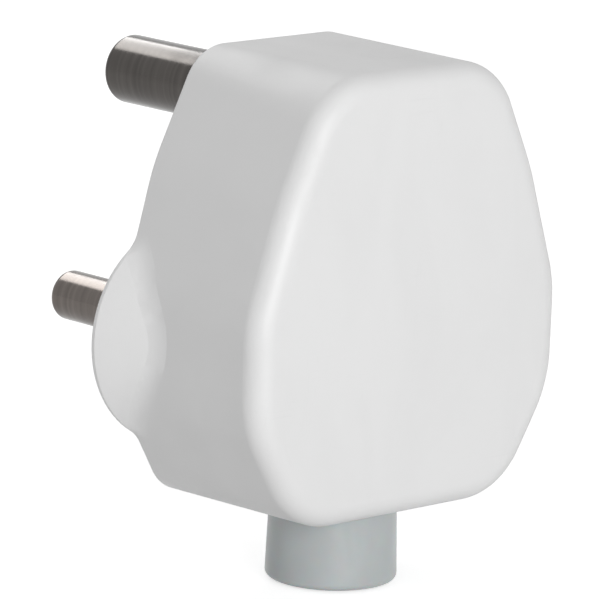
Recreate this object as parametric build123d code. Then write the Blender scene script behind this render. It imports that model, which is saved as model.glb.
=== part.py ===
from build123d import *
import os

# Sizes are in millimetres. Y = 0 is the face that meets the socket, +Y runs out
# along the pins, and +Z is up, so the cord leaves downwards.

# Round pins, 5 A pattern
POLE_SPACING = 19.05
EARTH_DROP = 22.225
EARTH_R = 3.53
EARTH_LENGTH = 21.6
POLE_R = 2.54
POLE_LENGTH = 19.2
TIP_ROUND = 0.7
SHANK_STEP = 0.4
POLE_X = POLE_SPACING / 2
POLE_Z = -EARTH_DROP

# Cover outline: heights of its corners, and the half widths and radii there at the
# rear rim and at the front face
TOP_Z = 6.3
TOP_FALL = 0.2
SHOULDER_RISE = 5.2
FLANK_RISE = 12.0
HIP_FALL = 5.6
FOOT_FALL = 16.3
SHOULDER_Z = POLE_Z + SHOULDER_RISE
FLANK_Z = SHOULDER_Z + FLANK_RISE
HIP_Z = POLE_Z - HIP_FALL
FOOT_Z = POLE_Z - FOOT_FALL
REAR_Z = (TOP_Z, FLANK_Z, SHOULDER_Z, HIP_Z, FOOT_Z)
FRONT_Z = (TOP_Z - TOP_FALL, FLANK_Z, SHOULDER_Z, HIP_Z, FOOT_Z)
REAR_HALF = (10.0, 15.6, 18.9, 19.4, 13.3)
FRONT_HALF = (11.5, 16.7, 20.7, 20.5, 13.9)
REAR_CORNER_R = (5.2, 24.0, 9.0, 10.0, 4.6)
FRONT_CORNER_R = (8.0, 26.0, 14.0, 13.0, 9.0)

# Cover shell
DEPTH = 21.9
SETBACK = 0.2
WALL = 1.9
FRONT_WALL = 2.2
FRONT_ROUND = 2.2
REAR_ROUND = 0.3
RIM = 1.3
INNER_FRONT = FRONT_WALL - DEPTH

# Swellings of the cover about the line and neutral pins
LOBE_OUT = 2.475
LOBE_X = POLE_X + LOBE_OUT
LOBE_R = 11.05
LOBE_LAND = 0.8
LOBE_RUN = 7.0
LOBE_SINK = 0.2
LOBE_RIM = 1.6
LOBE_BLEND = 3.6

# Base
EDGE_T = 1.6
PLATE_T = 3.4
BASE_GAP = 0.15
CORE_GAP = 0.2
FIT_GAP = 0.05
SEAT_RIB_T = 1.4
SEAT_RIB_H = 3.0
BARRIER_T = 1.6
BARRIER_DROP = 4.8

# Pillar terminals on the pins' inner ends
HEAD_ROOM = 6.7
PILLAR_END = INNER_FRONT + HEAD_ROOM
PILLAR_CHAMFER = 0.3
BARRIER_SHORT = 1.0
BARRIER_TOP = PILLAR_END + BARRIER_SHORT
COLLAR_T = 1.4
EARTH_PILLAR_R = 3.2
EARTH_COLLAR_R = 5.0
POLE_PILLAR_R = 3.3
POLE_COLLAR_R = 4.4
FLAT_HALF = 3.6
WIRE_DEPTH = 4.7
WIRE_Y = PILLAR_END + WIRE_DEPTH
EARTH_WIRE_R = 1.7
POLE_WIRE_R = 1.5
HOLD_GAP = 0.2
HOLD_T = 1.2
HOLD_STEP = 0.5

# Screws
EARTH_SCREW_R = 1.75
POLE_SCREW_R = 1.5
GRIP_SCREW_R = 1.5
COVER_SCREW_R = 1.75
HEAD_RATIO = 1.6
TERMINAL_HEAD_RATIO = 1.35
HEAD_T_RATIO = 1.1
SCREW_ROUND = 0.3
SLOT_W = 0.8
SLOT_DEPTH_RATIO = 0.45
CLEARANCE = 0.3
HEAD_GAP = 0.3

# Cover screw, its insert and the boss that holds it
COVER_SCREW_RISE = 10.4
COVER_SCREW_Z = POLE_Z + COVER_SCREW_RISE
COVER_BOSS_R = 4.2
BASE_BOSS_T = 1.6
RETAINER_ROOM = 1.3
COVER_BOSS_END = -PLATE_T - BASE_BOSS_T - RETAINER_ROOM
INSERT_WALL = 1.1
COVER_INSERT_L = 7.0
COVER_SCREW_SHORT = 0.8
COVER_SCREW_END = COVER_BOSS_END - COVER_INSERT_L + COVER_SCREW_SHORT
RETAINER_T = 0.7
RETAINER_RATIO = 2.0
HEAD_SINK = 0.3

# Cord sleeve
SLEEVE_FORWARD = 0.25
SLEEVE_Y = -DEPTH / 2 - SLEEVE_FORWARD
SLEEVE_R = 6.4
SLEEVE_END_R = 6.65
SLEEVE_L = 8.3
SLEEVE_END_Z = FOOT_Z - SLEEVE_L
SLEEVE_BORE_R = 3.6
SLEEVE_END_ROUND = 0.6
NECK_R = 5.5
NECK_GAP = 0.15
FLANGE_R = 6.7
FLANGE_T = 1.6
ROOT_H = 3.8

# Cord grip
GRIP_FALL = 8.4
GRIP_Z = POLE_Z - GRIP_FALL
GRIP_X = 8.0
GRIP_BOSS_R = 2.9
GRIP_ROOM = 6.2
GRIP_BOSS_END = INNER_FRONT + GRIP_ROOM
GRIP_BAR_T = 2.4
GRIP_BAR_W = 6.0
GRIP_BAR_ROUND = 2.0
GRIP_INSERT_L = 6.0
GRIP_SCREW_L = 8.5
GRIP_PILOT_L = 4.0
SADDLE_BACK = 3.4
SADDLE_TOP = SLEEVE_Y + SADDLE_BACK
SADDLE_W = 9.0
SADDLE_RISE = 1.6
GRIP_RIDGE_R = 0.5
GRIP_RIDGE_STEP = 1.5

# How far a cutting tool runs past what it cuts, and how near an edge is found
OVER = 1.0
NEAR = 0.01
CENTRED_UP = (Align.CENTER, Align.CENTER, Align.MIN)


def rod(x, z, radius, y_from, y_to):
    """Round bar along Y, from the rear end y_from to the front end y_to."""
    place = Plane(origin=(x, y_from, z), z_dir=(0, -1, 0))
    return place * Cylinder(radius, y_from - y_to, align=CENTRED_UP)


def post(y, radius, z_low, z_high, top_radius=None):
    """Round or tapering bar along Z on the cord's line."""
    place = Pos(0, y, z_low)
    height = z_high - z_low
    if top_radius is None:
        return place * Cylinder(radius, height, align=CENTRED_UP)
    return place * Cone(radius, top_radius, height, align=CENTRED_UP)


def block(x_low, x_high, y_low, y_high, z_low, z_high):
    """Box between two corners."""
    size = (x_high - x_low, y_high - y_low, z_high - z_low)
    middle = ((x_low + x_high) / 2, (y_low + y_high) / 2, (z_low + z_high) / 2)
    return Pos(*middle) * Box(*size)


def edges_at(shape, axis, place):
    """Edges that lie at one place along an axis."""
    return shape.edges().filter_by_position(axis, place - NEAR, place + NEAR)


def between(rear, front, share):
    """Sizes part of the way from the rear ones to the front ones."""
    return [r + (f - r) * share for r, f in zip(rear, front)]


def outline(y, inset):
    """The cover's cross-section at depth y, brought in by inset."""
    share = -y / DEPTH
    right = list(zip(between(REAR_HALF, FRONT_HALF, share), between(REAR_Z, FRONT_Z, share)))
    left = [(-x, z) for x, z in reversed(right)]
    radii = between(REAR_CORNER_R, FRONT_CORNER_R, share)
    radii += reversed(radii)
    face = make_face(FilletPolyline(*right, *left, radius=radii, close=True))
    if inset > 0:
        face = offset(face, amount=-inset, kind=Kind.ARC)
    return Plane.XZ.offset(-y) * face


def body(y_rear, y_front, inset):
    """Solid between two cross-sections of the cover."""
    return loft([outline(y_rear, inset).face(), outline(y_front, inset).face()], ruled=True)


def lobe(side, y_rear, inset):
    """Swelling about one pole pin, which tapers until it meets the cover's side."""
    centre = side * LOBE_X
    wide = LOBE_R - inset
    halves = between(REAR_HALF, FRONT_HALF, LOBE_RUN / DEPTH)
    flank = halves[REAR_Z.index(SHOULDER_Z)]
    narrow = flank - LOBE_SINK - LOBE_X - inset
    corners = [(0, y_rear), (wide, y_rear), (wide, -LOBE_LAND), (narrow, -LOBE_RUN), (0, -LOBE_RUN)]
    points = [(centre + x, y) for x, y in corners]
    face = Plane.XY.offset(POLE_Z) * make_face(Polyline(*points, close=True))
    axis = Axis((centre, 0, POLE_Z), (0, 1, 0))
    return revolve(face, axis=axis, revolution_arc=360)


def base_outline(inset, depth):
    """Flat plate that fills the cover's rear opening, brought in by inset."""
    plate = extrude(outline(0, inset), amount=depth)
    for side in (-1, 1):
        plate += rod(side * LOBE_X, POLE_Z, LOBE_R - inset + RIM - LOBE_RIM, 0, -depth)
    return plate


def hold_ring(x, z, pillar_radius):
    """Ring inside the cover that keeps a pin's terminal on its seat."""
    inner_radius = pillar_radius - HOLD_STEP
    outer = rod(x, z, inner_radius + HOLD_T, PILLAR_END - HOLD_GAP, INNER_FRONT - OVER)
    return outer - rod(x, z, inner_radius, PILLAR_END, INNER_FRONT)


def sleeve_slot(gap):
    """Passage of the cord sleeve's neck through the bottom wall, open to the rear."""
    width = NECK_R + gap
    low = FOOT_Z - OVER
    high = FOOT_Z + WALL + OVER
    return block(-width, width, SLEEVE_Y, OVER, low, high) + post(SLEEVE_Y, width, low, high)


def cover():
    """Front shell with its inner boss and the rings over the terminals."""
    shell = body(-SETBACK, -DEPTH, 0)
    shell = fillet(edges_at(shell, Axis.Y, -DEPTH), FRONT_ROUND)
    for side in (-1, 1):
        swelling = lobe(side, -SETBACK, 0)
        joined = shell + swelling
        meeting = new_edges(shell, swelling, combined=joined)
        meeting = meeting.filter_by_position(Axis.Y, -DEPTH, -SETBACK - NEAR)
        shell = fillet(meeting, LOBE_BLEND)
    shell = fillet(edges_at(shell, Axis.Y, -SETBACK), REAR_ROUND)
    hollow = body(-EDGE_T, INNER_FRONT, WALL)
    for side in (-1, 1):
        hollow += lobe(side, 0, WALL)
    shell -= hollow
    shell -= base_outline(RIM, EDGE_T)
    shell += rod(0, COVER_SCREW_Z, COVER_BOSS_R, COVER_BOSS_END, INNER_FRONT - OVER)
    shell += hold_ring(0, 0, EARTH_PILLAR_R)
    for side in (-1, 1):
        shell += hold_ring(side * POLE_X, POLE_Z, POLE_PILLAR_R)
    insert_end = COVER_BOSS_END - COVER_INSERT_L
    insert_radius = COVER_SCREW_R + INSERT_WALL + FIT_GAP
    shell -= rod(0, COVER_SCREW_Z, insert_radius, 0, insert_end)
    return shell - sleeve_slot(NECK_GAP)


def pin_seat(x, z, half_width):
    """Ribs above and below a collar's flats, which stop the pin turning."""
    near = FLAT_HALF + FIT_GAP
    far = near + SEAT_RIB_T
    top = -PLATE_T - SEAT_RIB_H
    upper = block(x - half_width, x + half_width, top, -EDGE_T, z + near, z + far)
    return upper + block(x - half_width, x + half_width, top, -EDGE_T, z - far, z - near)


def saddle():
    """Scooped block that the cord lies on under the grip bar."""
    low = GRIP_Z - GRIP_BAR_W / 2
    high = GRIP_Z + GRIP_BAR_W / 2
    rest = block(-SADDLE_W / 2, SADDLE_W / 2, SADDLE_TOP, -EDGE_T, low, high)
    scoop_radius = SADDLE_TOP + SADDLE_RISE - SLEEVE_Y
    return rest - post(SLEEVE_Y, scoop_radius, low - OVER, high + OVER)


def tongue():
    """Plug for the cover's slot behind the sleeve's neck, with a thicker root."""
    fill = block(-NECK_R, NECK_R, SLEEVE_Y, 0, FOOT_Z, FOOT_Z + WALL)
    fill += block(-NECK_R, NECK_R, -PLATE_T, 0, FOOT_Z, FOOT_Z + ROOT_H)
    return fill - post(SLEEVE_Y, NECK_R + NECK_GAP, FOOT_Z - OVER, FOOT_Z + WALL + OVER)


def grip_screw_hole(x):
    """Seat of a grip screw's insert, with the pilot hole beyond it."""
    insert_end = GRIP_BOSS_END + GRIP_INSERT_L
    seat_radius = GRIP_SCREW_R + INSERT_WALL + FIT_GAP
    seat = rod(x, GRIP_Z, seat_radius, insert_end, GRIP_BOSS_END - OVER)
    return seat + rod(x, GRIP_Z, GRIP_SCREW_R + CLEARANCE, insert_end + GRIP_PILOT_L, GRIP_BOSS_END)


def pin_base():
    """Rear plate that carries the pins, the cord grip's bosses and the screw."""
    plate = base_outline(RIM + BASE_GAP, EDGE_T)
    inside = body(-EDGE_T, INNER_FRONT, WALL + CORE_GAP)
    core = extrude(outline(0, WALL + CORE_GAP), amount=PLATE_T)
    for side in (-1, 1):
        core += rod(side * LOBE_X, POLE_Z, POLE_COLLAR_R + SEAT_RIB_T, 0, -PLATE_T)
    plate += core
    for side in (-1, 1):
        plate += pin_seat(side * POLE_X, POLE_Z, POLE_COLLAR_R)
    plate += pin_seat(0, 0, EARTH_COLLAR_R) & inside
    plate += rod(0, COVER_SCREW_Z, COVER_BOSS_R, 0, -PLATE_T - BASE_BOSS_T)
    barrier_low = POLE_Z - BARRIER_DROP
    barrier_high = COVER_SCREW_Z - COVER_BOSS_R - CORE_GAP
    plate += block(-BARRIER_T / 2, BARRIER_T / 2, BARRIER_TOP, -EDGE_T, barrier_low, barrier_high)
    for side in (-1, 1):
        plate += rod(side * GRIP_X, GRIP_Z, GRIP_BOSS_R, -EDGE_T, GRIP_BOSS_END)
    plate += saddle() + tongue()
    plate -= rod(0, 0, EARTH_R + SHANK_STEP + FIT_GAP, OVER, -PLATE_T)
    for side in (-1, 1):
        plate -= rod(side * POLE_X, POLE_Z, POLE_R + SHANK_STEP + FIT_GAP, OVER, -PLATE_T)
        plate -= grip_screw_hole(side * GRIP_X)
    head_radius = COVER_SCREW_R * HEAD_RATIO + HEAD_GAP
    head_depth = HEAD_SINK + COVER_SCREW_R * HEAD_T_RATIO
    plate -= rod(0, COVER_SCREW_Z, head_radius, OVER, -head_depth)
    shaft_end = -PLATE_T - BASE_BOSS_T - OVER
    return plate - rod(0, COVER_SCREW_Z, COVER_SCREW_R + CLEARANCE, OVER, shaft_end)


def contact_pin(x, z, radius, length, pillar_radius, collar_radius, wire_radius, screw_radius):
    """One turned pin: contact, shank, flatted collar and pillar terminal."""
    contact = rod(x, z, radius, length, 0)
    contact = fillet(edges_at(contact, Axis.Y, length), TIP_ROUND)
    shank = rod(x, z, radius + SHANK_STEP, 0, -PLATE_T)
    collar = rod(x, z, collar_radius, -PLATE_T, -PLATE_T - COLLAR_T)
    reach = 2 * collar_radius
    collar &= block(x - reach, x + reach, PILLAR_END, 0, z - FLAT_HALF, z + FLAT_HALF)
    pillar = rod(x, z, pillar_radius, -PLATE_T, PILLAR_END)
    pillar = chamfer(edges_at(pillar, Axis.Y, PILLAR_END), PILLAR_CHAMFER)
    pin = contact + shank + collar + pillar
    pin -= Pos(x, WIRE_Y, z) * Cylinder(wire_radius, 2 * reach)
    return pin - rod(x, z, screw_radius + FIT_GAP, WIRE_Y, PILLAR_END - OVER)


def screw(x, z, radius, head_ratio, seat_y, tip_y):
    """Cheese-head screw along Y, its head's underside at seat_y."""
    front = 1 if tip_y > seat_y else -1
    head_t = radius * HEAD_T_RATIO
    head_y = seat_y - front * head_t
    head = rod(x, z, radius * head_ratio, max(seat_y, head_y), min(seat_y, head_y))
    head = fillet(edges_at(head, Axis.Y, head_y), SCREW_ROUND)
    shank = rod(x, z, radius, max(seat_y, tip_y), min(seat_y, tip_y))
    shank = chamfer(edges_at(shank, Axis.Y, tip_y), SCREW_ROUND)
    floor = head_y + front * head_t * SLOT_DEPTH_RATIO
    over = head_y - front * OVER
    reach = 2 * radius * head_ratio
    half = SLOT_W / 2
    slot = block(x - reach, x + reach, min(floor, over), max(floor, over), z - half, z + half)
    return head + shank - slot


def insert(x, z, screw_radius, y_from, y_to):
    """Threaded bush pressed into the plastic."""
    bush = rod(x, z, screw_radius + INSERT_WALL, y_from, y_to)
    return bush - rod(x, z, screw_radius + FIT_GAP, y_from + OVER, y_to - OVER)


def cable_sleeve():
    """Soft sleeve about the cord's exit, with a neck in the bottom wall."""
    neck_top = FOOT_Z + WALL + FIT_GAP
    barrel = post(SLEEVE_Y, SLEEVE_END_R, SLEEVE_END_Z, FOOT_Z - FIT_GAP, SLEEVE_R)
    barrel = fillet(edges_at(barrel, Axis.Z, SLEEVE_END_Z), SLEEVE_END_ROUND)
    neck = post(SLEEVE_Y, NECK_R, FOOT_Z - OVER, neck_top + FLANGE_T / 2)
    flange = post(SLEEVE_Y, FLANGE_R, neck_top, neck_top + FLANGE_T)
    bore = post(SLEEVE_Y, SLEEVE_BORE_R, SLEEVE_END_Z - OVER, neck_top + FLANGE_T + OVER)
    return barrel + neck + flange - bore


def cord_grip_bar():
    """Bar that clamps the cord against the base's saddle."""
    half = GRIP_X + GRIP_BOSS_R
    low = GRIP_BOSS_END - GRIP_BAR_T
    edge = GRIP_BAR_W / 2
    bar = block(-half, half, low, GRIP_BOSS_END, GRIP_Z - edge, GRIP_Z + edge)
    bar = fillet(bar.edges().filter_by(Axis.Y), GRIP_BAR_ROUND)
    for step in (-1, 0, 1):
        ridge_z = GRIP_Z + step * GRIP_RIDGE_STEP
        ridge = Pos(0, GRIP_BOSS_END, ridge_z) * Rot(0, 90, 0) * Cylinder(GRIP_RIDGE_R, SADDLE_W)
        bar += ridge
    for side in (-1, 1):
        bar -= rod(side * GRIP_X, GRIP_Z, GRIP_SCREW_R + CLEARANCE, 0, low - OVER)
    return bar


def retainer():
    """Washer that keeps the cover screw in the base."""
    rear = -PLATE_T - BASE_BOSS_T
    ring = rod(0, COVER_SCREW_Z, COVER_SCREW_R * RETAINER_RATIO, rear, rear - RETAINER_T)
    return ring - rod(0, COVER_SCREW_Z, COVER_SCREW_R + FIT_GAP, 0, rear - RETAINER_T - OVER)


def earth_group():
    """Earth pin and its terminal screw."""
    pin = contact_pin(
        0, 0, EARTH_R, EARTH_LENGTH, EARTH_PILLAR_R, EARTH_COLLAR_R, EARTH_WIRE_R, EARTH_SCREW_R
    )
    terminal = screw(0, 0, EARTH_SCREW_R, TERMINAL_HEAD_RATIO, PILLAR_END, WIRE_Y)
    return {"earth_pin": pin, "earth_terminal_screw": terminal}


def pole_group(side, name):
    """Line or neutral pin and its terminal screw."""
    x = side * POLE_X
    pin = contact_pin(
        x, POLE_Z, POLE_R, POLE_LENGTH, POLE_PILLAR_R, POLE_COLLAR_R, POLE_WIRE_R, POLE_SCREW_R
    )
    terminal = screw(x, POLE_Z, POLE_SCREW_R, TERMINAL_HEAD_RATIO, PILLAR_END, WIRE_Y)
    return {name + "_pin": pin, name + "_terminal_screw": terminal}


def grip_group(side, name):
    """One end's screw and insert of the cord grip."""
    x = side * GRIP_X
    seat = GRIP_BOSS_END - GRIP_BAR_T
    fixing = screw(x, GRIP_Z, GRIP_SCREW_R, HEAD_RATIO, seat, seat + GRIP_SCREW_L)
    bush = insert(x, GRIP_Z, GRIP_SCREW_R, GRIP_BOSS_END + GRIP_INSERT_L, GRIP_BOSS_END)
    return {"cord_grip_screw_" + name: fixing, "cord_grip_insert_" + name: bush}


def parts():
    """Every node by name."""
    nodes = {"cover": cover(), "pin_base": pin_base()}
    nodes.update(earth_group())
    nodes.update(pole_group(-1, "neutral"))
    nodes.update(pole_group(1, "line"))
    nodes["cable_sleeve"] = cable_sleeve()
    nodes["cord_grip_bar"] = cord_grip_bar()
    nodes.update(grip_group(-1, "left"))
    nodes.update(grip_group(1, "right"))
    head_seat = -HEAD_SINK - COVER_SCREW_R * HEAD_T_RATIO
    nodes["cover_screw"] = screw(
        0, COVER_SCREW_Z, COVER_SCREW_R, HEAD_RATIO, head_seat, COVER_SCREW_END
    )
    nodes["cover_screw_retainer"] = retainer()
    nodes["cover_screw_insert"] = insert(
        0, COVER_SCREW_Z, COVER_SCREW_R, COVER_BOSS_END, COVER_BOSS_END - COVER_INSERT_L
    )
    return nodes


os.makedirs("parts", exist_ok=True)
for node, shape in parts().items():
    export_step(shape, "parts/" + node + ".step")
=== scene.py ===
import math

import bmesh
import bpy
from bpy.props import FloatProperty, FloatVectorProperty, IntProperty, PointerProperty
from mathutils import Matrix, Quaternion, Vector


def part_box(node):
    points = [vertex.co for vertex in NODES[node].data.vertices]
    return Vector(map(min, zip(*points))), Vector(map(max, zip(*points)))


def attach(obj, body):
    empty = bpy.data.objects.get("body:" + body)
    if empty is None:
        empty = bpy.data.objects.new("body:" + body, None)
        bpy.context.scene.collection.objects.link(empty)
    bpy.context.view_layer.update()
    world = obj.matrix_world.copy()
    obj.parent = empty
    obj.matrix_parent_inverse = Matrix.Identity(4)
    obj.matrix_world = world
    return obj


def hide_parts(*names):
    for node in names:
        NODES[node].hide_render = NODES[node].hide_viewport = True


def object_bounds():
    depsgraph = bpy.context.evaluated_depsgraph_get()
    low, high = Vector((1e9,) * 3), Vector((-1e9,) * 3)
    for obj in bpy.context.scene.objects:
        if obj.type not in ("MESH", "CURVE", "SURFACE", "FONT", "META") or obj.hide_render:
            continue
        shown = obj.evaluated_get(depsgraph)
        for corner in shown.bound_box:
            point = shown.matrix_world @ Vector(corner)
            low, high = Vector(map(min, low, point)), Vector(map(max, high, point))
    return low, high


bl_info = {
    "name": "Plug top",
    "version": (1, 0, 0),
    "blender": (4, 5, 0),
    "location": "View3D > Sidebar > Plug top",
    "description": "Finishes a round-pin plug top and cuts the threads of its screws",
    "category": "Object",
}

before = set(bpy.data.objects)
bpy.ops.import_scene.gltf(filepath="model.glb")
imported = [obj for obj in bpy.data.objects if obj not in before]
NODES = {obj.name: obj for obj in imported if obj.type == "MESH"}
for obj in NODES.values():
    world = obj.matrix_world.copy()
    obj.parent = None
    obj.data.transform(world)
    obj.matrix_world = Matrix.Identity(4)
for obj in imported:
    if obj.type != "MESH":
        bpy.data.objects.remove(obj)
CAD_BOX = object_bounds()
POLES = ("line", "neutral")
SIDES = ("left", "right")
SCREWS = ("cover_screw", "earth_terminal_screw") + tuple(pole + "_terminal_screw" for pole in POLES)
SCREWS += tuple("cord_grip_screw_" + side for side in SIDES)
INSERTS = ("cover_screw_insert",) + tuple("cord_grip_insert_" + side for side in SIDES)

# Depth of each fine relief, in metres
GRAIN_DEPTH = 0.00004
LATHE_DEPTH = 0.00002
STRAND_DEPTH = 0.00008

# How many strands of fibre and flecks of paper lie in a metre
STRAND_COUNT = 1600.0
FLECK_COUNT = 300.0

# Colours that no setting changes
WHITE = (1.0, 1.0, 1.0)
PLASTIC_DUST = (0.62, 0.60, 0.56)
SLEEVE_DUST = (0.60, 0.59, 0.56)
FIBRE_DARK = (0.22, 0.055, 0.035)
FIBRE_LIGHT = (0.36, 0.12, 0.08)
PAPER_DARK = (0.66, 0.66, 0.66)
PAPER_LIGHT = (0.70, 0.70, 0.70)

# Screw sizes as shares of the thread's pitch
THREAD_DEPTH = 0.61
THREAD_START = 0.3
RIDGE_FOOT = (0.03, 0.97)
RIDGE_CREST = (0.43, 0.57)
SHANK_RING = 1.3
TIP_BEVEL = 0.5

# Screw sizes as shares of the head's height
HEAD_ROUNDING = 0.15
SLOT_DEPTH = 0.45
SEAT_BEVEL = 0.08

# Screw radii as shares of the radius that they lie just inside
SEAT_RIM = 0.97
SUNK_FOOT = 0.98

# Turns over which a thread fades out at its ends
FADE_TURNS = 0.5

# Tolerances of the screws' meshes: two lengths in metres, one angle in radians
MERGE_DISTANCE = 1e-7
CUT_TOLERANCE = 1e-8
SHARP_ANGLE = math.radians(35)

# Floor: gap under the plug and half width in metres, and share of white that it glows with
FLOOR_GAP = 0.0002
FLOOR_HALF_WIDTH = 3.0
FLOOR_GLOW = 0.66

# Lamps: the way to them from the plug, then metres, and the turn about their aim in radians
FRONT_LAMP = {"direction": (-0.21, -0.53, 0.06), "distance": 0.7, "width": 0.4, "height": 0.4}
REAR_LAMP = {
    "direction": (0.122, 0.761, 0.637), "distance": 0.45, "width": 0.34, "height": 0.06,
    "turn": math.radians(18),
}


class PlasticFinish(bpy.types.PropertyGroup):
    """Colours and texture of the moulded pieces."""

    cover_color: FloatVectorProperty(
        name="Cover colour", description="White of the cover", subtype="COLOR",
        size=3, min=0, max=1, default=(0.80, 0.80, 0.80),
    )
    base_color: FloatVectorProperty(
        name="Base colour", description="White of the pin base and the cord grip bar",
        subtype="COLOR", size=3, min=0, max=1, default=(0.77, 0.77, 0.755),
    )
    sleeve_color: FloatVectorProperty(
        name="Sleeve colour", description="Grey of the soft sleeve", subtype="COLOR",
        size=3, min=0, max=1, default=(0.49, 0.525, 0.53),
    )
    grain: FloatProperty(
        name="Grain", description="Width of one dimple of the mould's texture", unit="LENGTH",
        default=0.00035, precision=5,
    )
    flow: FloatProperty(
        name="Flow marks", description="Width of one faint flow mark in the plastic",
        unit="LENGTH", default=0.009, precision=4,
    )


class MetalFinish(bpy.types.PropertyGroup):
    """Colours of the metals, and the cut details of pins and screws."""

    # Painted reflection: both plating colours are far darker than bright nickel and stand in for dark
    # surroundings reflected in the pins; the pole pins get a lighter, warmer copy
    earth_plating_with_painted_reflection: FloatVectorProperty(
        name="Earth pin plating", description="Dark bright nickel on the earth pin",
        subtype="COLOR", size=3, min=0, max=1, default=(0.070, 0.065, 0.061),
    )
    pole_plating_with_painted_reflection: FloatVectorProperty(
        name="Pole pin plating", description="Lighter, warmer nickel on the line and neutral pins",
        subtype="COLOR", size=3, min=0, max=1, default=(0.115, 0.102, 0.094),
    )
    screw_color: FloatVectorProperty(
        name="Screw plating", description="Zinc on the screws", subtype="COLOR",
        size=3, min=0, max=1, default=(0.52, 0.53, 0.54),
    )
    brass_color: FloatVectorProperty(
        name="Brass", description="Bare brass of the inserts and of worn plating",
        subtype="COLOR", size=3, min=0, max=1, default=(0.60, 0.43, 0.19),
    )
    turning: FloatProperty(
        name="Turning lines", description="Distance between the lathe's fine lines on the pins",
        unit="LENGTH", default=0.00022, precision=5,
    )
    thread_pitch: FloatProperty(
        name="Thread pitch", description="Distance between two turns of a screw's thread",
        unit="LENGTH", default=0.0006, precision=5,
    )
    thread_steps: IntProperty(
        name="Thread steps", description="Faces in one turn of a thread", default=24, min=8,
    )
    slot_width: FloatProperty(
        name="Slot width", description="Width of the slot in a screw's head", unit="LENGTH",
        default=0.0008, precision=5,
    )


class StudioSettings(bpy.types.PropertyGroup):
    """Camera, lamps and even light."""

    azimuth: FloatProperty(
        name="Azimuth", description="Camera's turn round the plug", subtype="ANGLE",
        default=math.radians(-43.07),
    )
    elevation: FloatProperty(
        name="Elevation", description="Camera's height angle", subtype="ANGLE",
        default=math.radians(11.96),
    )
    roll: FloatProperty(
        name="Roll", description="Camera's tilt about its own line of sight", subtype="ANGLE",
        default=math.radians(1.905),
    )
    distance: FloatProperty(
        name="Distance", description="From the camera to the point it looks at", unit="LENGTH",
        default=0.5278,
    )
    aim: FloatVectorProperty(
        name="Aim", description="Point that the camera looks at", subtype="TRANSLATION",
        default=(-0.001293, -0.006791, -0.019241),
    )
    lens: FloatProperty(
        name="Lens", description="Focal length in millimetres on a 36 mm sensor", unit="CAMERA",
        default=317.6,
    )
    key_power: FloatProperty(
        name="Front lamp", description="Watts of the large lamp in front", unit="POWER",
        default=3.65,
    )
    rear_power: FloatProperty(
        name="Rear lamp", description="Watts of the strip lamp above the pins", unit="POWER",
        default=0.37,
    )
    ambient: FloatProperty(
        name="Ambient", description="Brightness of the room's even light", subtype="FACTOR",
        min=0, max=1, default=0.415,
    )


# Helpers for node trees


def put(tree, kind, values=None, **settings):
    """Adds a node, sets its attributes, and sets or links its inputs."""
    node = tree.nodes.new(kind)
    for key, value in settings.items():
        setattr(node, key, value)
    for key, value in (values or {}).items():
        if isinstance(value, bpy.types.NodeSocket):
            tree.links.new(value, node.inputs[key])
        else:
            node.inputs[key].default_value = value
    return node


def calc(tree, operation, first, second=0.0, third=0.0):
    """One Math node's result."""
    values = {0: first, 1: second, 2: third}
    return put(tree, "ShaderNodeMath", values, operation=operation).outputs[0]


def per_metre(tree, width):
    """How often a width fits into one metre."""
    return calc(tree, "DIVIDE", 1.0, width)


def spread(tree, value, low, high, out_low=0.0, out_high=1.0):
    """Value stretched from one range to another, and clamped."""
    values = {"Value": value, "From Min": low, "From Max": high}
    values.update({"To Min": out_low, "To Max": out_high})
    return put(tree, "ShaderNodeMapRange", values, clamp=True).outputs["Result"]


def blend_color(tree, factor, first, second):
    """Mix of two colours."""
    values = {0: factor, 6: first, 7: second}
    return put(tree, "ShaderNodeMix", values, data_type="RGBA").outputs[2]


def tint(tree, color, effect, share, toward):
    """Colour moved toward another by a share of an effect."""
    return blend_color(tree, calc(tree, "MULTIPLY", effect, share), color, toward)


def add_effect(tree, value, effect, amount):
    """Value changed by an amount where an effect is full."""
    return calc(tree, "MULTIPLY_ADD", effect, amount, value)


def rgba(color, brightness=1.0):
    """Opaque colour, made brighter or darker."""
    return tuple(min(1.0, channel * brightness) for channel in color) + (1.0,)


def object_point(tree, factor, stretch=(1.0, 1.0, 1.0)):
    """Place on the piece, stretched and scaled."""
    point = put(tree, "ShaderNodeTexCoord").outputs["Object"]
    point = put(tree, "ShaderNodeMapping", {"Vector": point, "Scale": stretch}).outputs[0]
    scaled = put(tree, "ShaderNodeVectorMath", {0: point, "Scale": factor}, operation="SCALE")
    return scaled.outputs[0]


def noise(tree, point, detail=2.0, roughness=0.5, distortion=0.0):
    """Noise value at a point."""
    values = {"Vector": point, "Scale": 1.0, "Detail": detail}
    values.update({"Roughness": roughness, "Distortion": distortion})
    return put(tree, "ShaderNodeTexNoise", values).outputs[0]


def new_group(name, inputs, outputs):
    """Empty node group with named float sockets, and its two ends."""
    tree = bpy.data.node_groups.new(name, "ShaderNodeTree")
    for label, value in inputs.items():
        socket = tree.interface.new_socket(label, in_out="INPUT", socket_type="NodeSocketFloat")
        socket.default_value = value
    for label in outputs:
        tree.interface.new_socket(label, in_out="OUTPUT", socket_type="NodeSocketFloat")
    return tree, tree.nodes.new("NodeGroupInput").outputs, tree.nodes.new("NodeGroupOutput").inputs


def use_group(tree, name, values):
    """Places a shared effect in a material."""
    return put(tree, "ShaderNodeGroup", values, node_tree=bpy.data.node_groups[name]).outputs


# Shared effects, whose sizes are widths in metres


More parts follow.
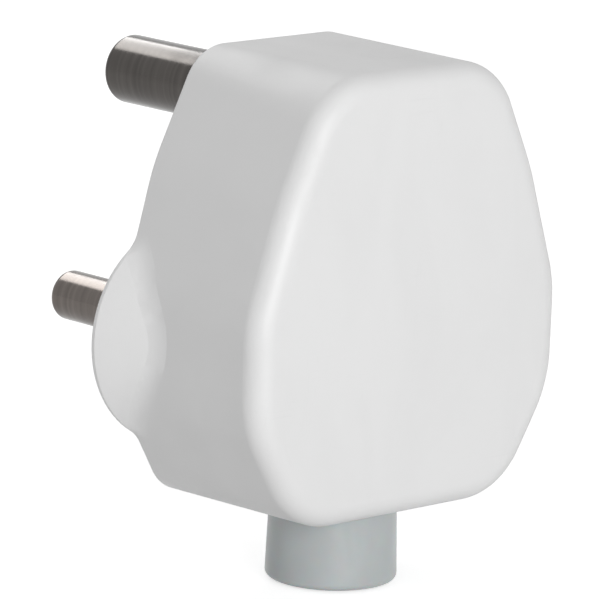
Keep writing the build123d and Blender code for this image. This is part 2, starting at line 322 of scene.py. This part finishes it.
def build_moulded_grain():
    """Fine dimples of a mould's surface, with slow flow marks in the plastic."""
    tree, given, result = new_group(
        "moulded_grain", {"Grain": 0.0004, "Flow": 0.009}, ("Height", "Flow Mark", "Sheen Patch")
    )
    fine = per_metre(tree, given["Grain"])
    slow = per_metre(tree, given["Flow"])
    dimple = noise(tree, object_point(tree, fine), detail=3.0, roughness=0.62)
    wave_point = object_point(tree, slow, stretch=(1.0, 0.6, 0.5))
    wave = noise(tree, wave_point, detail=2.0, distortion=0.9)
    patch_point = object_point(tree, slow, stretch=(1.7, 1.7, 2.1))
    patch = noise(tree, patch_point, detail=4.0, roughness=0.6)
    tree.links.new(dimple, result["Height"])
    tree.links.new(spread(tree, wave, low=0.38, high=0.66), result["Flow Mark"])
    tree.links.new(spread(tree, patch, low=0.35, high=0.7), result["Sheen Patch"])


def build_edge_wear_and_painted_highlight():
    """Edge mask, from how far a rounded normal turns away from the true one: rubbed wear on metal, a
    painted highlight on plastic edges.
    """
    tree, given, result = new_group("edge_wear_and_painted_highlight", {"Width": 0.0004, "Breakup": 0.002}, ("Wear And Painted Highlight",))
    rounded = put(tree, "ShaderNodeBevel", {"Radius": given["Width"]}, samples=6).outputs[0]
    true = put(tree, "ShaderNodeNewGeometry").outputs["Normal"]
    normals = {0: rounded, 1: true}
    match = put(tree, "ShaderNodeVectorMath", normals, operation="DOT_PRODUCT").outputs["Value"]
    bend = spread(tree, match, low=0.995, high=0.90)
    patch_point = object_point(tree, per_metre(tree, given["Breakup"]))
    patchy = noise(tree, patch_point, detail=4.0, roughness=0.65)
    wear_and_painted_highlight = calc(tree, "MULTIPLY", bend, spread(tree, patchy, low=0.38, high=0.62))
    tree.links.new(wear_and_painted_highlight, result["Wear And Painted Highlight"])


def build_handling_marks():
    """Hairline scratches in two directions, and dull finger marks."""
    tree, given, result = new_group(
        "handling_marks", {"Scratch": 0.0012, "Smudge": 0.011}, ("Scratches", "Smudges")
    )
    fine = per_metre(tree, given["Scratch"])
    lines = None
    for stretch in ((0.12, 1.4, 2.2), (1.9, 1.1, 0.1)):
        value = noise(tree, object_point(tree, fine, stretch), detail=1.0)
        away = calc(tree, "ABSOLUTE", calc(tree, "SUBTRACT", value, 0.5))
        line = spread(tree, away, low=0.012, high=0.0)
        lines = line if lines is None else calc(tree, "MAXIMUM", lines, line)
    wide = per_metre(tree, given["Smudge"])
    where = spread(tree, noise(tree, object_point(tree, wide), detail=2.0), low=0.46, high=0.60)
    tree.links.new(calc(tree, "MULTIPLY", lines, where), result["Scratches"])
    tree.links.new(where, result["Smudges"])


def build_turned_lines():
    """Fine rings left by a lathe about the Y direction."""
    tree, given, result = new_group("turned_lines", {"Pitch": 0.0002}, ("Height", "Streak"))
    point = put(tree, "ShaderNodeTexCoord").outputs["Object"]
    along = put(tree, "ShaderNodeSeparateXYZ", {0: point}).outputs[1]
    turns = calc(tree, "DIVIDE", along, given["Pitch"])
    ring = calc(tree, "SINE", calc(tree, "MULTIPLY", turns, 2.0 * math.pi))
    values = {"W": turns, "Scale": 0.35, "Detail": 4.0}
    uneven = put(tree, "ShaderNodeTexNoise", values, noise_dimensions="1D").outputs[0]
    ring_share = 0.25
    height = calc(tree, "ADD", calc(tree, "MULTIPLY", ring, ring_share), uneven)
    tree.links.new(height, result["Height"])
    tree.links.new(spread(tree, uneven, low=0.35, high=0.65), result["Streak"])


def build_settled_dust():
    """Thin dust on faces that look up."""
    tree, given, result = new_group("settled_dust", {"Speck": 0.0006}, ("Dust",))
    normal = put(tree, "ShaderNodeNewGeometry").outputs["Normal"]
    upward = put(tree, "ShaderNodeSeparateXYZ", {0: normal}).outputs[2]
    speck_point = object_point(tree, per_metre(tree, given["Speck"]))
    specks = noise(tree, speck_point, detail=5.0, roughness=0.7)
    lying = spread(tree, upward, low=0.3, high=1.0)
    dust = calc(tree, "MULTIPLY", lying, spread(tree, specks, low=0.45, high=0.72))
    tree.links.new(dust, result["Dust"])


# Materials


def new_material(name, roughness, metallic=0.0, **sockets):
    """Material with its shader's plain values set, ready for its texture nodes."""
    material = bpy.data.materials.new(name)
    material.use_nodes = True
    tree = material.node_tree
    shader = tree.nodes["Principled BSDF"]
    shader.inputs["Metallic"].default_value = metallic
    shader.inputs["Roughness"].default_value = roughness
    for key, value in sockets.items():
        shader.inputs[key.replace("_", " ")].default_value = value
    return material, tree, shader.inputs


def raise_surface(tree, sockets, height, strength, depth):
    """Bump from a height."""
    values = {"Height": height, "Strength": strength, "Distance": depth}
    normal = put(tree, "ShaderNodeBump", values).outputs[0]
    tree.links.new(normal, sockets["Normal"])


def plastic_material(name, color, finish, roughness, relief, dust_share):
    """Hard moulded plastic, with a painted highlight along its edges."""
    material, tree, sockets = new_material(name, roughness)
    grain = use_group(tree, "moulded_grain", {"Grain": finish.grain, "Flow": finish.flow})
    wear_and_painted_highlight = use_group(tree, "edge_wear_and_painted_highlight", {"Width": 0.0005, "Breakup": 0.0015})
    marks = use_group(tree, "handling_marks", {"Scratch": 0.0014, "Smudge": 0.012})
    dust = use_group(tree, "settled_dust", {"Speck": 0.0007})
    look = blend_color(tree, grain["Flow Mark"], rgba(color), rgba(color, brightness=0.98))
    # Painted highlight: the plastic's rounded edges are made a little lighter
    look = tint(tree, look, wear_and_painted_highlight["Wear And Painted Highlight"], share=0.5, toward=rgba(color, brightness=1.05))
    look = tint(tree, look, marks["Scratches"], share=0.12, toward=rgba(color, brightness=0.88))
    look = tint(tree, look, dust["Dust"], share=dust_share, toward=rgba(PLASTIC_DUST))
    tree.links.new(look, sockets["Base Color"])
    rough = add_effect(tree, roughness, grain["Sheen Patch"], amount=0.06)
    rough = add_effect(tree, rough, marks["Smudges"], amount=0.05)
    rough = add_effect(tree, rough, marks["Scratches"], amount=0.10)
    tree.links.new(rough, sockets["Roughness"])
    height = add_effect(tree, grain["Height"], marks["Scratches"], amount=-0.5)
    raise_surface(tree, sockets, height, strength=relief, depth=GRAIN_DEPTH)
    return material


def plated_pin_material(name, plating, metal):
    """Bright nickel over turned brass, rubbed through at the edges, in a colour darkened as a painted
    reflection of dark surroundings.
    """
    roughness = 0.15
    material, tree, sockets = new_material(name, roughness, metallic=1.0)
    lines = use_group(tree, "turned_lines", {"Pitch": metal.turning})
    wear_and_painted_highlight = use_group(tree, "edge_wear_and_painted_highlight", {"Width": 0.0004, "Breakup": 0.0009})
    marks = use_group(tree, "handling_marks", {"Scratch": 0.0008, "Smudge": 0.006})
    brass = rgba(metal.brass_color, brightness=0.8)
    look = blend_color(tree, lines["Streak"], rgba(plating), rgba(plating, brightness=1.25))
    look = tint(tree, look, marks["Smudges"], share=0.35, toward=rgba(plating, brightness=0.8))
    look = tint(tree, look, wear_and_painted_highlight["Wear And Painted Highlight"], share=0.45, toward=brass)
    tree.links.new(look, sockets["Base Color"])
    rough = add_effect(tree, roughness, lines["Streak"], amount=0.05)
    rough = add_effect(tree, rough, marks["Smudges"], amount=0.06)
    tree.links.new(rough, sockets["Roughness"])
    height = add_effect(tree, lines["Height"], marks["Scratches"], amount=-0.8)
    raise_surface(tree, sockets, height, strength=0.06, depth=LATHE_DEPTH)
    return material


def metal_material(name, color, turning, roughness):
    """Turned metal, plated or bare, brighter where its edges are rubbed."""
    material, tree, sockets = new_material(name, roughness, metallic=1.0)
    lines = use_group(tree, "turned_lines", {"Pitch": turning})
    wear_and_painted_highlight = use_group(tree, "edge_wear_and_painted_highlight", {"Width": 0.00025, "Breakup": 0.0006})
    grain = use_group(tree, "moulded_grain", {"Grain": 0.00012, "Flow": 0.0014})
    look = blend_color(tree, grain["Flow Mark"], rgba(color), rgba(color, brightness=0.82))
    look = blend_color(tree, wear_and_painted_highlight["Wear And Painted Highlight"], look, rgba(color, brightness=1.3))
    tree.links.new(look, sockets["Base Color"])
    rough = add_effect(tree, roughness, grain["Sheen Patch"], amount=0.14)
    tree.links.new(rough, sockets["Roughness"])
    height = calc(tree, "ADD", lines["Height"], grain["Height"])
    raise_surface(tree, sockets, height, strength=0.12, depth=LATHE_DEPTH)
    return material


def sleeve_material(name, color):
    """Soft vinyl, satin and a little translucent."""
    roughness = 0.30
    material, tree, sockets = new_material(
        name, roughness, Subsurface_Weight=0.5, Subsurface_Scale=0.003
    )
    grain = use_group(tree, "moulded_grain", {"Grain": 0.0006, "Flow": 0.005})
    dust = use_group(tree, "settled_dust", {"Speck": 0.0005})
    marks = use_group(tree, "handling_marks", {"Scratch": 0.0011, "Smudge": 0.005})
    look = blend_color(tree, grain["Flow Mark"], rgba(color), rgba(color, brightness=0.93))
    look = tint(tree, look, marks["Smudges"], share=0.25, toward=rgba(color, brightness=0.9))
    look = tint(tree, look, dust["Dust"], share=0.2, toward=rgba(SLEEVE_DUST))
    tree.links.new(look, sockets["Base Color"])
    rough = add_effect(tree, roughness, grain["Sheen Patch"], amount=0.10)
    tree.links.new(rough, sockets["Roughness"])
    raise_surface(tree, sockets, grain["Height"], strength=0.16, depth=GRAIN_DEPTH)
    return material


def fibre_material(name):
    """Pressed red fibre with its matted strands."""
    material, tree, sockets = new_material(name, roughness=0.8)
    point = object_point(tree, STRAND_COUNT, stretch=(0.3, 1.0, 1.7))
    strands = noise(tree, point, detail=6.0, roughness=0.75, distortion=1.4)
    shade = spread(tree, strands, low=0.35, high=0.65)
    look = blend_color(tree, shade, rgba(FIBRE_DARK), rgba(FIBRE_LIGHT))
    tree.links.new(look, sockets["Base Color"])
    rough = spread(tree, strands, low=0.3, high=0.7, out_low=0.7, out_high=0.9)
    tree.links.new(rough, sockets["Roughness"])
    raise_surface(tree, sockets, strands, strength=0.4, depth=STRAND_DEPTH)
    return material


def dress(piece, material):
    """Gives a piece one material."""
    piece.data.materials.clear()
    piece.data.materials.append(material)


# Threaded screws


def screw_sizes(node):
    """One screw's axis, levels and radii in metres, read from its solid."""
    low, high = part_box(node)
    centre = (low + high) / 2
    spots = [
        (vert.co.y, math.hypot(vert.co.x - centre.x, vert.co.z - centre.z))
        for vert in NODES[node].data.vertices
    ]
    head_radius = max(radius for _, radius in spots)
    near_rim, near_head = 0.98, 0.1
    rim = [y for y, radius in spots if radius > near_rim * head_radius]
    forward = 1 if sum(rim) / len(rim) < centre.y else -1
    seat = max(rim) if forward > 0 else min(rim)
    head = abs(seat - (low.y if forward > 0 else high.y))
    length = abs(seat - (high.y if forward > 0 else low.y))
    radius = max(radius for y, radius in spots if (y - seat) * forward > near_head * length)
    return {
        "centre": centre, "forward": forward, "seat": seat, "head": head,
        "head_radius": head_radius, "length": length, "radius": radius,
    }


def lathe(bm, profile, size, steps):
    """Spins (radius, level) points round a screw's axis into a closed solid."""
    centre = size["centre"]
    made = [
        bm.verts.new((centre.x + radius, size["seat"] + size["forward"] * level, centre.z))
        for radius, level in profile
    ]
    edges = [bm.edges.new(pair) for pair in zip(made, made[1:])]
    bmesh.ops.spin(
        bm, geom=made + edges, cent=(centre.x, 0, centre.z), axis=(0, 1, 0),
        angle=2 * math.pi, steps=steps, use_merge=True,
    )
    bmesh.ops.remove_doubles(bm, verts=bm.verts, dist=MERGE_DISTANCE)


def cut_slot(bm, size, width, depth):
    """Opens a driver's slot across the head, and closes its floor and walls."""
    centre, forward = size["centre"], size["forward"]
    floor = size["seat"] - forward * (size["head"] - depth)
    walls = (centre.z - width / 2, centre.z + width / 2)
    planes = [((0, 0, z), (0, 0, 1)) for z in walls] + [((0, floor, 0), (0, 1, 0))]
    for point, normal in planes:
        geom = bm.verts[:] + bm.edges[:] + bm.faces[:]
        bmesh.ops.bisect_plane(
            bm, geom=geom, dist=CUT_TOLERANCE, plane_co=point, plane_no=normal
        )
    inside = []
    for face in bm.faces:
        middle = face.calc_center_median()
        above_floor = (middle.y - floor) * forward < -CUT_TOLERANCE
        if walls[0] < middle.z < walls[1] and above_floor:
            inside.append(face)
    bmesh.ops.delete(bm, geom=inside, context="FACES")
    rim = {vert for edge in bm.edges if edge.is_boundary for vert in edge.verts}
    for axis, place in ((2, walls[0]), (2, walls[1]), (1, floor)):
        across = 3 - axis
        flat = [vert for vert in rim if abs(vert.co[axis] - place) < 2 * CUT_TOLERANCE]
        middle = sum((vert.co for vert in flat), Vector()) / len(flat)
        flat.sort(key=lambda vert: math.atan2(vert.co[across] - middle[across], vert.co.x - middle.x))
        bm.faces.new(flat)


def wind_thread(bm, size, root, start, pitch, steps):
    """Winds one ridge round the shank, fading out at both ends."""
    centre, forward = size["centre"], size["forward"]
    turns = int((size["length"] - start) / pitch) - 1
    offset = bm.verts.layers.float.new("offset")
    foot, crest = SUNK_FOOT * root, size["radius"]
    section = (
        (foot, RIDGE_FOOT[0]), (crest, RIDGE_CREST[0]), (crest, RIDGE_CREST[1]), (foot, RIDGE_FOOT[1])
    )
    ring = []
    for radius, share in section:
        level = size["seat"] + forward * (start + share * pitch)
        vert = bm.verts.new((centre.x + radius, level, centre.z))
        vert[offset] = share
        ring.append(vert)
    edges = [bm.edges.new(pair) for pair in zip(ring, ring[1:] + ring[:1])]
    bmesh.ops.spin(
        bm, geom=ring + edges, cent=(centre.x, 0, centre.z), axis=(0, 1, 0),
        dvec=(0, forward * pitch / steps, 0), angle=forward * 2 * math.pi * turns,
        steps=steps * turns,
    )
    for vert in bm.verts:
        turn = ((vert.co.y - size["seat"]) * forward - start) / pitch - vert[offset]
        fade = max(0.0, min(1.0, turn / FADE_TURNS, (turns - turn) / FADE_TURNS))
        out = Vector((vert.co.x - centre.x, 0, vert.co.z - centre.z))
        height = out.length - foot
        if height > 0:
            vert.co += out.normalized() * height * (fade - 1)
    open_edges = [edge for edge in bm.edges if edge.is_boundary]
    bmesh.ops.holes_fill(bm, edges=open_edges, sides=len(section))


def screw_profile(size, root, pitch):
    """Outline of a screw with a plain shank, as (radius, level) points from head to tip."""
    head, head_radius, length = size["head"], size["head_radius"], size["length"]
    bend = HEAD_ROUNDING * head
    corner = [
        (head_radius - bend * (1 - math.sin(turn)), -head + bend * (1 - math.cos(turn)))
        for turn in (0, 0.5, 1.0, math.pi / 2)
    ]
    seat = [(head_radius, -SEAT_BEVEL * head), (SEAT_RIM * head_radius, 0), (root, 0)]
    shank = [(root, SHANK_RING * pitch), (root, length - pitch)]
    tip = [(root - TIP_BEVEL * pitch, length), (0, length)]
    return [(0, -head)] + corner + seat + shank + tip


def threaded_screw(node, metal):
    """Slotted cheese-head screw with a cut thread, in the place of its plain solid."""
    size = screw_sizes(node)
    pitch, steps = metal.thread_pitch, metal.thread_steps
    root = size["radius"] - THREAD_DEPTH * pitch
    bm = bmesh.new()
    lathe(bm, screw_profile(size, root, pitch), size, 2 * steps)
    cut_slot(bm, size, metal.slot_width, SLOT_DEPTH * size["head"])
    ridge = bmesh.new()
    wind_thread(ridge, size, root, THREAD_START * pitch, pitch, steps)
    mesh = bpy.data.meshes.new("threaded_" + node)
    ridge.to_mesh(mesh)
    ridge.free()
    bm.from_mesh(mesh)
    bmesh.ops.recalc_face_normals(bm, faces=bm.faces)
    bm.to_mesh(mesh)
    bm.free()
    mesh.shade_smooth()
    mesh.set_sharp_from_angle(angle=SHARP_ANGLE)
    piece = bpy.data.objects.new("threaded_" + node, mesh)
    bpy.context.scene.collection.objects.link(piece)
    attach(piece, "root")
    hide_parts(node)
    return piece


# Stage


def place_camera(scene, studio):
    """Camera on a sphere round its aim, tilted about its line of sight."""
    data = bpy.data.cameras.new("camera")
    data.sensor_width = 36.0
    data.lens = studio.lens
    data.clip_start = 0.01
    data.clip_end = 20.0
    camera = bpy.data.objects.new("camera", data)
    scene.collection.objects.link(camera)
    turn, rise = studio.azimuth, studio.elevation
    level = math.cos(rise)
    back = Vector((math.sin(turn) * level, -math.cos(turn) * level, math.sin(rise)))
    camera.location = Vector(studio.aim) + back * studio.distance
    camera.rotation_mode = "QUATERNION"
    camera.rotation_quaternion = Quaternion(back, studio.roll) @ back.to_track_quat("Z", "Y")
    scene.camera = camera


def place_lamp(name, target, power, direction, distance, width, height, turn=0.0):
    """Rectangular area lamp that points at the target, turned about its own aim."""
    data = bpy.data.lights.new(name, "AREA")
    data.shape = "RECTANGLE"
    data.size = width
    data.size_y = height
    data.energy = power
    holder = bpy.data.objects.new(name, data)
    bpy.context.scene.collection.objects.link(holder)
    toward = Vector(direction).normalized()
    holder.location = target + toward * distance
    holder.rotation_mode = "QUATERNION"
    holder.rotation_quaternion = Quaternion(toward, turn) @ toward.to_track_quat("Z", "Y")


def seen_directly(tree):
    """1 where a camera, mirror or glass ray looks, 0 for the light itself."""
    path = put(tree, "ShaderNodeLightPath").outputs
    seen = calc(tree, "MAXIMUM", path["Is Camera Ray"], path["Is Glossy Ray"])
    return calc(tree, "MAXIMUM", seen, path["Is Transmission Ray"])


def build_surroundings(scene, ambient):
    """White room that lights the plug dimly but looks white itself."""
    world = bpy.data.worlds.new("surroundings")
    world.use_nodes = True
    tree = world.node_tree
    tree.nodes.clear()
    dim, bright = (
        put(tree, "ShaderNodeBackground", {"Color": rgba(WHITE), "Strength": strength}).outputs[0]
        for strength in (ambient, 1.0)
    )
    both = put(tree, "ShaderNodeMixShader", {0: seen_directly(tree), 1: dim, 2: bright})
    put(tree, "ShaderNodeOutputWorld", {0: both.outputs[0]})
    scene.world = world


def floor_material(name):
    """Pale paper that glows up to white where it is seen."""
    material, tree, sockets = new_material(name, roughness=0.9)
    fleck = noise(tree, object_point(tree, FLECK_COUNT), detail=3.0)
    shade = spread(tree, fleck, low=0.3, high=0.7)
    look = blend_color(tree, shade, rgba(PAPER_DARK), rgba(PAPER_LIGHT))
    tree.links.new(look, sockets["Base Color"])
    sockets["Emission Color"].default_value = rgba(WHITE)
    glow = calc(tree, "MULTIPLY", seen_directly(tree), FLOOR_GLOW)
    tree.links.new(glow, sockets["Emission Strength"])
    return material


def lay_floor(low):
    """One flat sheet just under the plug."""
    bm = bmesh.new()
    bmesh.ops.create_grid(bm, x_segments=1, y_segments=1, size=FLOOR_HALF_WIDTH)
    bmesh.ops.translate(bm, verts=bm.verts, vec=(0, 0, low - FLOOR_GAP))
    mesh = bpy.data.meshes.new("pale_floor")
    bm.to_mesh(mesh)
    bm.free()
    sheet = bpy.data.objects.new("pale_floor", mesh)
    bpy.context.scene.collection.objects.link(sheet)
    dress(sheet, floor_material("floor_paper"))


# Operators


class PLUG_OT_finish_plastics(bpy.types.Operator):
    """Give the cover, the pin base and the grip bar their moulded white plastic."""

    bl_idname = "plug.finish_plastics"
    bl_label = "Finish plastics"

    def execute(self, context):
        finish = context.scene.plug_plastic
        cover = plastic_material(
            "cover_white", finish.cover_color, finish, roughness=0.42, relief=0.10, dust_share=0.05
        )
        base = plastic_material(
            "base_white", finish.base_color, finish, roughness=0.44, relief=0.16, dust_share=0.05
        )
        bar = plastic_material(
            "grip_white", finish.base_color, finish, roughness=0.5, relief=0.2, dust_share=0.1
        )
        dress(NODES["cover"], cover)
        dress(NODES["pin_base"], base)
        dress(NODES["cord_grip_bar"], bar)
        return {"FINISHED"}


class PLUG_OT_finish_pins(bpy.types.Operator):
    """Plate the three contact pins, in colours darkened as a painted reflection."""

    bl_idname = "plug.finish_pins"
    bl_label = "Finish pins"

    def execute(self, context):
        metal = context.scene.plug_metal
        # Painted reflection: the earth pin's nickel is dark, the pole pins' a lighter copy of it
        dress(NODES["earth_pin"], plated_pin_material("earth_nickel_with_painted_reflection", metal.earth_plating_with_painted_reflection, metal))
        pole_painted_reflection_nickel = plated_pin_material("pole_nickel_with_painted_reflection", metal.pole_plating_with_painted_reflection, metal)
        for name in POLES:
            dress(NODES[name + "_pin"], pole_painted_reflection_nickel)
        return {"FINISHED"}


class PLUG_OT_build_screws(bpy.types.Operator):
    """Make the six slotted screws with their threads."""

    bl_idname = "plug.build_screws"
    bl_label = "Build screws"

    def execute(self, context):
        metal = context.scene.plug_metal
        zinc = metal_material("zinc_plate", metal.screw_color, turning=0.0003, roughness=0.28)
        for name in SCREWS:
            dress(threaded_screw(name, metal), zinc)
        return {"FINISHED"}


class PLUG_OT_finish_fixings(bpy.types.Operator):
    """Give the inserts their brass and the washer its fibre."""

    bl_idname = "plug.finish_fixings"
    bl_label = "Finish fixings"

    def execute(self, context):
        metal = context.scene.plug_metal
        brass = metal_material("turned_brass", metal.brass_color, turning=0.0002, roughness=0.26)
        for name in INSERTS:
            dress(NODES[name], brass)
        dress(NODES["cover_screw_retainer"], fibre_material("red_fibre"))
        return {"FINISHED"}


class PLUG_OT_finish_sleeve(bpy.types.Operator):
    """Give the cord sleeve its grey vinyl."""

    bl_idname = "plug.finish_sleeve"
    bl_label = "Finish sleeve"

    def execute(self, context):
        color = context.scene.plug_plastic.sleeve_color
        dress(NODES["cable_sleeve"], sleeve_material("grey_vinyl", color))
        return {"FINISHED"}


class PLUG_OT_build_studio(bpy.types.Operator):
    """Set up the camera, the white surroundings, the pale floor and the soft lamps."""

    bl_idname = "plug.build_studio"
    bl_label = "Build studio"

    def execute(self, context):
        scene = context.scene
        studio = scene.plug_studio
        place_camera(scene, studio)
        scene.view_settings.view_transform = "Standard"
        build_surroundings(scene, studio.ambient)
        lay_floor(CAD_BOX[0].z)
        target = (CAD_BOX[0] + CAD_BOX[1]) / 2
        place_lamp("front_lamp", target, studio.key_power, **FRONT_LAMP)
        place_lamp("rear_lamp", target, studio.rear_power, **REAR_LAMP)
        return {"FINISHED"}


OPERATORS = (
    PLUG_OT_finish_plastics,
    PLUG_OT_finish_pins,
    PLUG_OT_build_screws,
    PLUG_OT_finish_fixings,
    PLUG_OT_finish_sleeve,
    PLUG_OT_build_studio,
)


class PLUG_PT_panel(bpy.types.Panel):
    """Lists the plug's finishing steps."""

    bl_idname = "PLUG_PT_panel"
    bl_label = "Plug top"
    bl_space_type = "VIEW_3D"
    bl_region_type = "UI"
    bl_category = "Plug top"

    def draw(self, context):
        for step in OPERATORS:
            self.layout.operator(step.bl_idname, text=step.bl_label)


GROUPS = (PlasticFinish, MetalFinish, StudioSettings)
CLASSES = GROUPS + OPERATORS + (PLUG_PT_panel,)


def register():
    for item in CLASSES:
        bpy.utils.register_class(item)
    bpy.types.Scene.plug_plastic = PointerProperty(type=PlasticFinish)
    bpy.types.Scene.plug_metal = PointerProperty(type=MetalFinish)
    bpy.types.Scene.plug_studio = PointerProperty(type=StudioSettings)


def unregister():
    del bpy.types.Scene.plug_studio
    del bpy.types.Scene.plug_metal
    del bpy.types.Scene.plug_plastic
    for item in reversed(CLASSES):
        bpy.utils.unregister_class(item)


def main():
    """Builds the effects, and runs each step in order."""
    register()
    build_moulded_grain()
    build_edge_wear_and_painted_highlight()
    build_handling_marks()
    build_turned_lines()
    build_settled_dust()
    bpy.ops.plug.finish_plastics()
    bpy.ops.plug.finish_pins()
    bpy.ops.plug.build_screws()
    bpy.ops.plug.finish_fixings()
    bpy.ops.plug.finish_sleeve()
    bpy.ops.plug.build_studio()


if __name__ == "__main__":
    main()
